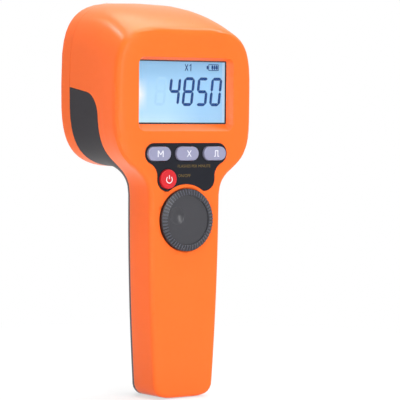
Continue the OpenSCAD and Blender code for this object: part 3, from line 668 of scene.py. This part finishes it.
# %% Knob ribs, hub and dish
RIB = 0.4
RIB_INSET = 0.16
HUB_R = 6.0
SHAFT_R = 3.01
SHAFT_Y = -12.72
DISH_R = 5.3
DISH_X = -7.6
DISH_UP = 2.6
BALL_R = 9.2
KNOB_SMOOTH = 38.0
SLOPING = (-0.98, -0.1)
RIM_FROM = DISC_R + 0.4
NEAR_AXIS = 1.0


def from_axis(middle):
    """How far a face is from the knob's axis."""
    return math.hypot(middle.x, middle.z - knob_middle.z)


def on_rib(middle, normal):
    """Whether a face of the sloping rim belongs to a rib."""
    angle = math.atan2(middle.z - knob_middle.z, middle.x) % (2 * math.pi)
    even = int(angle / math.pi * RIBS) % 2 == 0
    return even and SLOPING[0] < normal.y < SLOPING[1] and from_axis(middle) > RIM_FROM


pick(knob, on_rib)
bpy.ops.mesh.inset(thickness=RIB_INSET * MM, depth=RIB * MM, use_individual=True)
done()
pick(knob, lambda middle, normal: normal.y > SQUARE and from_axis(middle) < NEAR_AXIS)
bpy.ops.mesh.inset(thickness=(knob_r - HUB_R) * MM)
push(0.0, knob_high.y - SKIRT_Y, 0.0)
bpy.ops.mesh.inset(thickness=(HUB_R - SHAFT_R) * MM)
push(0.0, SHAFT_Y - knob_high.y, 0.0)
done()
dish_y = crest_y + SUNK - EASE_RISE - math.sqrt(BALL_R ** 2 - DISH_R ** 2)
ball = start(
    "uv_sphere", "dish_cutter", (DISH_X, dish_y, knob_middle.z + DISH_UP),
    segments=64, ring_count=48, radius=BALL_R * MM)
apply_modifier(knob, "BOOLEAN", operation="DIFFERENCE", solver="EXACT", object=ball)
bpy.data.objects.remove(ball)
smooth(knob, KNOB_SMOOTH)
print("knob", len(knob.data.polygons), "faces")

# %% [markdown]
# The ribs are paler than the disc. The gaps between them and the skirt round the rim are darker,
# which is painted shade, and the disc is a little glossier than the rim. The pattern is counted
# from the angle round the axis in the knob's own coordinates, so it stays on the ribs when the knob
# turns.

# %% Knob finish
RIB_GREY = rgb(74, 76, 86)
# The gaps between the ribs and the skirt round the rim get a darker grey as painted shade.
GAP_SHADE_GREY = rgb(45, 45, 49)
SKIRT_SHADE_GREY = rgb(34, 34, 37)
DISC_GREYS = (rgb(57, 57, 62), rgb(52, 52, 57))
DISC_PATCHES = 14.0
DISC_ROUGH = 0.29
RIM_ROUGHER = 0.07
KNOB_SPREAD = 0.06
KNOB_GRAIN = 0.35
KNOB_DEPTH = 0.003
RIM_PAINT = DISC_R + 0.3
SKIRT_SHADE_FROM = knob_r - 0.25


def fluted(place):
    """Grey plastic, paler on the ribs, with painted shade between them and on the skirt."""
    x = place.axis(0) / MM
    z = place.axis(2) / MM - knob_middle.z
    turns = x.math("ARCTAN2", z, x) / (2 * math.pi) + 1.0
    gap_shade = x.math("FRACT", turns * RIBS) > 0.5
    out = x.math("SQRT", x * x + z * z)
    rim = out > RIM_PAINT
    skirt_shade = out > SKIRT_SHADE_FROM
    grit = noise(place, KNOB_GRAIN)
    # Painted shade: the gaps between the ribs and the skirt are darkened.
    flutes = skirt_shade.mix(gap_shade.mix(RIB_GREY, GAP_SHADE_GREY), SKIRT_SHADE_GREY)
    disc = noise(place, DISC_PATCHES).mix(*DISC_GREYS)
    return {
        "Base Color": rim.mix(disc, flutes),
        "Roughness": DISC_ROUGH + RIM_ROUGHER * rim + KNOB_SPREAD * (grit - 0.5),
        "Normal": bump(place, grit, KNOB_DEPTH),
    }


knob_grey = finish("knob_grey", fluted, {"Specular IOR Level": 0.4})
wear(knob, knob_grey)
settle(knob, "knob", "knob_grey", "speed_knob")
print("knob has", RIBS, "ribs")

# %% [markdown]
# ## Key panel and keys
# The panel is a thin moulded plate let into the case, and the keys are caps that stand through it.
# All are copies of the CAD pieces, which have the right outline. Only the front edges of the keys
# are rounded, because a fingertip feels them. The plate lies flush, so its edges stay square.

# %% Panel and keys
KEY_FLAT = 1.0
KEY_FACE_Y = FRONT_Y - 1.0
KEY_EDGE = 0.55
KEY_SMOOTH = 40.0
PLATE_FLAT = 0.5
PLATE_SMOOTH = 30.0
KEYS = {
    "mode_key": ("mode_cap", key_lavender, "key_lavender"),
    "times_key": ("times_cap", key_lavender, "key_lavender"),
    "pulse_key": ("pulse_cap", key_lavender, "key_lavender"),
    "power_key": ("power_cap", key_red, "key_red"),
}
for node, (name, material, slot) in KEYS.items():
    key = copy_of(node, name, KEY_FLAT)
    pick(key, lambda middle, normal: normal.y < -SQUARE and middle.y < KEY_FACE_Y)
    bpy.ops.mesh.bevel(offset=KEY_EDGE * MM, segments=4, affect="EDGES")
    done()
    smooth(key, KEY_SMOOTH)
    wear(key, material)
    settle(key, node, slot, node)
plate = copy_of("keypad_panel", "key_plate", PLATE_FLAT)
smooth(plate, PLATE_SMOOTH)
wear(plate, panel_black)
settle(plate, "case", "panel_black", "keypad_panel")
print("keys:", len(KEYS))

# %% [markdown]
# ## Lit display
# Behind the window is a liquid crystal glass with a pale blue light behind it. The light comes in
# at the left, so that edge is almost white. The glass is a block whose front is inset and raised
# by a hair, which is the polariser. Its colour glows as well as being painted, because the light
# behind it shines through.

# %% Display glass
POLARISER = 0.05
POLARISER_DROP = 0.22
MARGIN = 1.1
glass_low, glass_high = corners("lcd_glass")
polariser_y = glass_low.y + POLARISER_DROP
display = block("lcd_panel", (glass_low.x, polariser_y + POLARISER, glass_low.z), glass_high)
pick(display, looks_forward)
bpy.ops.mesh.inset(thickness=MARGIN * MM)
push(0.0, -POLARISER, 0.0)
done()
print("display", [round(value, 2) for value in (glass_high - glass_low)], "mm")

# %% [markdown]
# The light fades from the left to the right, and the glass is a deeper blue at the top. A colour
# ramp over the height and a few masks over the width give this, and are easier to steer than a lamp
# in so thin a space. A dark line round the edge is painted shadow, where the window's frame shades
# the glass.

# %% Light of the display
GLOW = 0.53
DULL = 0.6
LEAK_W = 0.13
LEAK_UP = 0.46
LEAK_SLOPE = 4.0
LEAK_GAIN = 1.6
FAR_FROM = 0.35
FAR_SLOPE = 2.8
FAR_TOP = 0.85
FAR_FADE = 4.0
FAR_SHARE = 0.8
FAR_BLUE = rgb(159, 209, 249)
SIDE_FROM = 0.955
SIDE_SHARE = 0.6
SIDE_BLUE = rgb(212, 234, 254)
# The dark line of painted shadow round the edge of the glass.
EDGE_SHADOW_COLOUR = rgb(26, 30, 44)
GLASS_ROUGH = 0.3
GLASS_HAZE = 0.05
GLASS_PATCHES = 3.0
SHADOW_LINE_X = (0.012, 0.984)
SHADOW_LINE_Z = (0.052, 0.952)
LEVELS = [
    (0.08, rgb(200, 237, 253)), (0.2, rgb(186, 230, 255)), (0.5, rgb(182, 227, 255)),
    (0.63, rgb(172, 220, 254)), (0.8, rgb(154, 205, 242)), (0.94, rgb(146, 196, 234)),
]


def lit_glass(place):
    """Pale blue: deeper at the top and right, palest at the foot, white at the left."""
    across = ((place.axis(0) / MM - glass_low.x) / (glass_high.x - glass_low.x)).clamped()
    up = ((place.axis(2) / MM - glass_low.z) / (glass_high.z - glass_low.z)).clamped()
    level = up.node("ShaderNodeValToRGB", {0: up}, stops=LEVELS)
    far = ((across - FAR_FROM) * FAR_SLOPE).clamped() * ((FAR_TOP - up) * FAR_FADE).clamped()
    shaded = (FAR_SHARE * far).mix(level, FAR_BLUE)
    rise = up.math("ABSOLUTE", up - LEAK_UP)
    leak = (1.0 - across / LEAK_W).clamped() * (1.0 - rise * LEAK_SLOPE).clamped()
    lit = (LEAK_GAIN * leak).clamped().mix(shaded, WHITE)
    side_light = (across > SIDE_FROM) * SIDE_SHARE
    # Painted shadow: a dark line round the edge of the glass.
    beside = (across < SHADOW_LINE_X[0]) + (across > SHADOW_LINE_X[1])
    shadow_line = (beside + (up < SHADOW_LINE_Z[0]) + (up > SHADOW_LINE_Z[1])).clamped()
    paint = shadow_line.mix(side_light.mix(lit, SIDE_BLUE), EDGE_SHADOW_COLOUR)
    dull = up.node("ShaderNodeMix", {0: DULL, 6: paint, 7: BLACK}, out=2, data_type="RGBA")
    rough = GLASS_ROUGH + GLASS_HAZE * noise(place, GLASS_PATCHES)
    return {"Base Color": dull, "Emission Color": paint, "Roughness": rough}


lcd_blue = finish("lcd_blue", lit_glass, {"Emission Strength": GLOW})
wear(display, lcd_blue)
settle(display, "case", "lcd_blue", "lcd_glass")
print("display glows with", GLOW)

# %% [markdown]
# ## Figures on the display
# The figures are dark segments in the liquid crystal. A typeface would give the wrong shapes, so
# one segment is modelled as a bar with pointed ends, and copied for each lit segment of a figure,
# leaned over and joined. They are plates a few hundredths of a millimetre thick, just in front of
# the glass and behind the window.

# %% Bars, copies and joins
INK = 0.06
POINTED = 0.15
IDENTITY_ROWS = ((0.0, 1.0, 0.0, 0.0), (0.0, 0.0, 1.0, 0.0), (0.0, 0.0, 0.0, 1.0))


def bar(name, length, stroke):
    """A flat bar along X with pointed ends, at the origin."""
    half = (length - stroke) / 2
    piece = block(name, (-half, -INK / 2, -stroke / 2), (half, INK / 2, stroke / 2))
    for side in (-1.0, 1.0):
        pick(piece, lambda middle, normal: normal.x * side > SQUARE)
        push(side * stroke / 2, 0.0, 0.0)
        bpy.ops.transform.resize(value=(1.0, 1.0, POINTED))
        done()
    return piece


def stamp(master, name, matrix):
    """A copy of a piece with its own mesh, moved by a matrix."""
    piece = bpy.data.objects.new(name, master.data.copy())
    piece.data.transform(matrix)
    scene.collection.objects.link(piece)
    return piece


def joined(name, pieces):
    """Several pieces made one."""
    bpy.ops.object.select_all(action="DESELECT")
    for piece in pieces:
        piece.select_set(True)
    bpy.context.view_layer.objects.active = pieces[0]
    bpy.ops.object.join()
    pieces[0].name = name
    return pieces[0]


def at(x, z, y):
    """A move to this place."""
    return Matrix.Translation(Vector((x, y, z)) * MM)


def tilted(degrees):
    """A turn in the plane of the front."""
    return Matrix.Rotation(math.radians(degrees), 4, "Y")


def leaned(amount):
    """A lean in the plane of the front, by this much for each unit of height."""
    return Matrix(((1.0, 0.0, amount, 0.0), *IDENTITY_ROWS))


print("ink is", INK, "mm thick")

# %% Seven segments
FIGURE_W = 7.6
FIGURE_H = 16.4
STROKE = 1.7
SEGMENT_GAP = 0.3
reach_x = (FIGURE_W - STROKE) / 2
reach_z = (FIGURE_H - STROKE) / 2
LYING = bar("lying_segment", 2 * reach_x - SEGMENT_GAP, STROKE)
STANDING = bar("standing_segment", reach_z - SEGMENT_GAP, STROKE)
upright = tilted(90.0)
STANDING.data.transform(upright)
PLACES = {
    "top": (LYING, 0.0, reach_z),
    "middle": (LYING, 0.0, 0.0),
    "bottom": (LYING, 0.0, -reach_z),
    "upper_left": (STANDING, -reach_x, reach_z / 2),
    "upper_right": (STANDING, reach_x, reach_z / 2),
    "lower_left": (STANDING, -reach_x, -reach_z / 2),
    "lower_right": (STANDING, reach_x, -reach_z / 2),
}
UNLIT = {
    "4": ("top", "bottom", "lower_left"),
    "8": (),
    "5": ("upper_right", "lower_left"),
    "0": ("middle",),
}
print("segments of a figure:", len(PLACES))

# %% [markdown]
# Four figures are lit. The place before them is off, and only shows as a faint eight, a shade
# darker than the glass.

# %% Figures
LEAN = 0.115
FIGURE_Z = 174.4
FIGURE_X = (-4.9, 4.7, 14.4, 24.0)
UNLIT_X = -14.5
INK_GAP = 0.005
INK_SHINE = 0.05
ink_y = polariser_y - INK / 2 - INK_GAP
lcd_ink = finish("lcd_ink", moulded(rgb(26, 58, 116), rgb(22, 52, 106), 0.5, 0.3, 0.001), {
    "Specular IOR Level": INK_SHINE, "Emission Color": rgb(30, 72, 140), "Emission Strength": 0.3})
lcd_ghost = finish("lcd_ghost", moulded(rgb(119, 149, 169), rgb(118, 148, 168), 0.5, 0.3, 0.001), {
    "Specular IOR Level": INK_SHINE, "Emission Color": rgb(180, 225, 254),
    "Emission Strength": GLOW})


def figure_at(name, x, off):
    """A figure at x, without the segments that are off."""
    base = at(x, FIGURE_Z, ink_y) @ leaned(LEAN)
    lit = [stamp(master, "segment", base @ at(px, pz, 0.0))
           for place, (master, px, pz) in PLACES.items() if place not in off]
    return joined(name, lit)


for number, (figure, x) in enumerate(zip("4850", FIGURE_X)):
    lit_figure = figure_at("figure_" + str(number + 1), x, UNLIT[figure])
    wear(lit_figure, lcd_ink)
    settle(lit_figure, "case", "lcd_blue")
unlit_figure = figure_at("figure_unlit", UNLIT_X, ())
wear(unlit_figure, lcd_ghost)
settle(unlit_figure, "case", "lcd_blue")
print("figures 4850,", FIGURE_H, "mm tall, after one that is unlit")

# %% [markdown]
# ## Small signs on the display
# Above the figures are the factor X1 and a battery with three bars. They are thin bars of the same
# kind, so that they match the figures. The X is two crossed bars, and the 1 is a bar with a short
# flag. The battery is a frame of four bars with a cap at the left and three fillings. Each bar is
# given by its length and its stroke.

# %% Factor sign
THIN_BAR = (4.4, 0.55)
FLAG_BAR = (1.3, 0.45)
SIGN_Z = 188.1
CROSS_X = 3.3
CROSS_TILT = 62.0
ONE_X = 6.35
ONE_TILT = -89.0
FLAG_X = 5.78
FLAG_Z = 189.4
FLAG_TILT = -48.0
thin = bar("thin_bar", *THIN_BAR)
flag = bar("flag", *FLAG_BAR)
signs = [stamp(thin, "sign", at(CROSS_X, SIGN_Z, ink_y) @ tilted(side * CROSS_TILT))
         for side in (-1, 1)]
signs.append(stamp(thin, "sign", at(ONE_X, SIGN_Z, ink_y) @ tilted(ONE_TILT)))
signs.append(stamp(flag, "sign", at(FLAG_X, FLAG_Z, ink_y) @ tilted(FLAG_TILT)))
factor = joined("factor_sign", signs)
wear(factor, lcd_ink)
settle(factor, "case", "lcd_blue")
print("factor sign", round(factor.dimensions.z / MM, 2), "mm tall")

# %% Battery sign
RAIL_BAR = (6.8, 0.42)
END_BAR = (3.7, 0.42)
CHARGE_BAR = (2.7, 1.3)
CAP_BAR = (2.3, 1.2)
BATTERY_Z = 188.35
RAIL_X = 22.3
RAILS_Z = (186.7, 190.0)
ENDS_X = (18.9, 25.7)
CHARGES_X = (21.5, 23.05, 24.6)
CAP_X = 18.0
rail = bar("rail", *RAIL_BAR)
end = bar("end", *END_BAR)
charge = bar("charge", *CHARGE_BAR)
cap = bar("cap", *CAP_BAR)
signs = [stamp(rail, "sign", at(RAIL_X, z, ink_y)) for z in RAILS_Z]
for master, places in ((end, ENDS_X), (charge, CHARGES_X), (cap, (CAP_X,))):
    signs += [stamp(master, "sign", at(x, BATTERY_Z, ink_y) @ upright) for x in places]
battery = joined("battery_sign", signs)
wear(battery, lcd_ink)
settle(battery, "case", "lcd_blue")
for master in (LYING, STANDING, thin, flag, rail, end, charge, cap):
    bpy.data.objects.remove(master)
print("battery sign", round(battery.dimensions.x / MM, 2), "mm long")

# %% [markdown]
# ## Marks on the keys
# The keys carry white printed marks: M for the mode, X for the factor, a pulse for the pulse width,
# and the usual power sign. Print has some thickness, so the marks are thin plates that are let into
# the face a little. The X is text made into a mesh and fitted to its place.

# %% Print and letters
PRINT = 0.04
LET_IN = 0.01
TEXT_DEPTH = 0.05


def fit(piece, low, high):
    """Stretches and moves a piece's mesh into the box between two corners."""
    points = [vertex.co for vertex in piece.data.vertices]
    old_low = Vector([min(point[i] for point in points) for i in range(3)])
    old_high = Vector([max(point[i] for point in points) for i in range(3)])
    low, high = Vector(low) * MM, Vector(high) * MM
    scale = Matrix.Diagonal((*[(high[i] - low[i]) / (old_high[i] - old_low[i])
                               for i in range(3)], 1.0))
    piece.data.transform(Matrix.Translation(low) @ scale @ Matrix.Translation(-old_low))


def letters(name, words, x, z, width, height, y, bold=0.0):
    """Raised print of these words, centred at x and z, on a face at y."""
    bpy.ops.object.select_all(action="DESELECT")
    bpy.ops.object.text_add(rotation=(math.radians(90.0), 0.0, 0.0))
    text = bpy.context.object.data
    text.body = words
    text.offset = bold
    text.extrude = TEXT_DEPTH
    bpy.ops.object.convert(target="MESH")
    piece = bpy.context.object
    piece.name = name
    bpy.ops.object.transform_apply(location=True, rotation=True, scale=True)
    clean(piece)
    low = (x - width / 2, y - PRINT, z - height / 2)
    high = (x + width / 2, y + LET_IN, z + height / 2)
    fit(piece, low, high)
    return piece


PITCH = 19.2
ASIDE = 0.9
X_W = 3.3
X_H = 3.7
BOLD = 0.004
key_low, key_high = corners("mode_key")
key_y = key_low.y
key_z = (key_low.z + key_high.z) / 2
mark = letters("times_mark", "X", ASIDE, key_z, X_W, X_H, key_y, BOLD)
wear(mark, mark_white)
settle(mark, "times_key", "key_lavender")
print("X is", round(mark.dimensions.x / MM, 2), "mm wide")

# %% [markdown]
# The M is two stems with two short slopes that lean to its middle, and the pulse is five strips. A
# typeface would make the M too heavy, and it has no pulse. The strips of the pulse stay a hundredth
# of a millimetre apart, so that each is a closed solid.

# %% M and pulse
STEM = 0.6
M_ASIDE = 0.5
M_X = -PITCH + ASIDE - M_ASIDE
M_HALF = 2.0
M_SLOPE = 0.62
M_SLOPE_X = 0.82
SLOPE_HALF = 1.2
MARK_HALF = 1.85
LINE = 0.54
PULSE_X = PITCH + ASIDE
PULSE_HALF = 1.15
PULSE_END = 1.75
APART = 0.01
EDGE_LINE = 0.02
low_z = key_z - MARK_HALF
high_z = key_z + MARK_HALF


def strip(name, x0, x1, z0, z1, y):
    """A bar of print between two corners on a face at y, with a line round its front."""
    piece = block(name, (x0, y - PRINT, z0), (x1, y + LET_IN, z1))
    pick(piece, looks_forward)
    bpy.ops.mesh.inset(thickness=EDGE_LINE * MM)
    done()
    return piece


bars = [strip("stem", M_X + x, M_X + x + STEM, low_z, high_z, key_y)
        for x in (-M_HALF, M_HALF - STEM)]
for side in (-1, 1):
    slope = strip("slope", -STEM / 2, STEM / 2, -SLOPE_HALF, SLOPE_HALF, key_y)
    slope.data.transform(leaned(side * M_SLOPE))
    slope.data.transform(at(M_X + side * M_SLOPE_X, high_z - SLOPE_HALF, 0.0))
    bars.append(slope)
mark = joined("mode_mark", bars)
wear(mark, mark_white)
settle(mark, "mode_key", "key_lavender")
left_x = PULSE_X - PULSE_HALF
right_x = PULSE_X + PULSE_HALF
under_z = high_z - LINE
mark = joined("pulse_mark", [
    strip("line", PULSE_X - PULSE_END, left_x - APART, low_z, low_z + LINE, key_y),
    strip("line", left_x, left_x + LINE, low_z, under_z - APART, key_y),
    strip("line", left_x, right_x, under_z, high_z, key_y),
    strip("line", right_x - LINE, right_x, low_z, under_z - APART, key_y),
    strip("line", right_x + APART, PULSE_X + PULSE_END, low_z, low_z + LINE, key_y),
])
wear(mark, mark_white)
settle(mark, "pulse_key", "key_lavender")
print("M and pulse are", 2 * MARK_HALF, "mm tall")

# %% [markdown]
# The power sign is a ring with a gap at the top and a bar in the gap. A small upright rectangle
# stands at one side of the gap and is spun most of the way round, which leaves clean ends.

# %% Power sign
HALF_LINE = 0.24
RING_R = 1.95
GAP = 84.0
BAR_Z = (0.35, 2.5)
SIGN_ASIDE = 0.2
SIGN_DROP = 0.2
cap_low, cap_high = corners("power_key")
power_x = (cap_low.x + cap_high.x) / 2 + SIGN_ASIDE
power_z = (cap_low.z + cap_high.z) / 2 - SIGN_DROP
print_y = key_y - PRINT / 2 + LET_IN / 2
ring_z = power_z + RING_R
ring = start("plane", "power_mark", (power_x, print_y, ring_z), (0.0, math.radians(90.0), 0.0),
             size=1.0)
for vertex in ring.data.vertices:
    vertex.co.y = (key_y - PRINT if vertex.co.y / MM < print_y else key_y + LET_IN) * MM
    vertex.co.z = (ring_z - HALF_LINE if vertex.co.z / MM < ring_z else ring_z + HALF_LINE) * MM
only(ring)
centre = Vector((power_x, key_y, power_z)) * MM
ring.data.transform(Matrix.Translation(centre) @ tilted(-GAP / 2) @ Matrix.Translation(-centre))
bpy.ops.object.mode_set(mode="EDIT")
bpy.ops.mesh.select_all(action="SELECT")
bpy.ops.mesh.spin(
    steps=40, angle=2 * math.pi - math.radians(GAP), center=centre, axis=(0.0, 1.0, 0.0))
done()
clean(ring)
stem = strip("stem", power_x - HALF_LINE, power_x + HALF_LINE,
             power_z + BAR_Z[0], power_z + BAR_Z[1], key_y)
mark = joined("power_mark", [ring, stem])
wear(mark, mark_white)
settle(mark, "power_key", "key_red")
print("power sign", [round(value / MM, 2) for value in mark.dimensions], "mm")

# %% [markdown]
# ## Legends on the panel
# The panel has two lines of small gold print by the power key. They say what any such instrument
# says: what the display counts, and what the red key does. They are text, as the X is.

# %% Legends
LEGENDS = {
    "unit_legend": ("FLASHES PER MINUTE", 5.5, 132.1, 22.8, 1.6),
    "switch_legend": ("ON/OFF", -1.3, 126.7, 8.6, 1.7),
}
for name, line in LEGENDS.items():
    legend = letters(name, *line, FRONT_Y)
    wear(legend, mark_gold)
    settle(legend, "case", "panel_black")
print("legends:", len(LEGENDS))

# %% [markdown]
# ## Finishes of the other solids
# Most pieces inside the case already have the right shape. They keep their CAD mesh and only get a
# finish, so that the instrument looks right when it is opened or cut.

# %% CAD nodes that keep their shape
FINISHES = {
    lens_clear: ["lamp_lens"],
    gasket_rubber: ["lens_gasket"],
    reflector_metallised: ["reflector"],
    led_board_white: ["led_board"],
    led_phosphor: ["leds"],
    sink_aluminium: ["heat_sink"],
    screw_steel: ["module_screws", "lamp_screws", "board_screws", "case_screws"],
    window_clear: ["display_window"],
    backlight_white: ["lcd_backlight"],
    frame_plastic: ["lcd_frame"],
    zebra_rubber: ["zebra_strips"],
    plunger_brown: ["mode_plunger", "times_plunger", "pulse_plunger", "power_plunger"],
    switch_black: ["switch_bodies", "battery_cradle", "usb_tongue"],
    board_green: ["main_board", "charge_board"],
    chip_black: ["board_chips"],
    capacitor_sleeve: ["storage_capacitor"],
    encoder_case: ["encoder_body"],
    shaft_steel: ["encoder_shaft"],
    cell_wrap: ["battery_cell"],
    contact_plate: ["battery_contacts"],
    usb_shell: ["usb_socket"],
    bush_brass: ["tripod_bush"],
    lead_insulation: ["lamp_leads", "battery_leads"],
}
for material, names in FINISHES.items():
    for name in names:
        wear(NODES[name], material)
print("dressed solids:", sum(len(names) for names in FINISHES.values()))
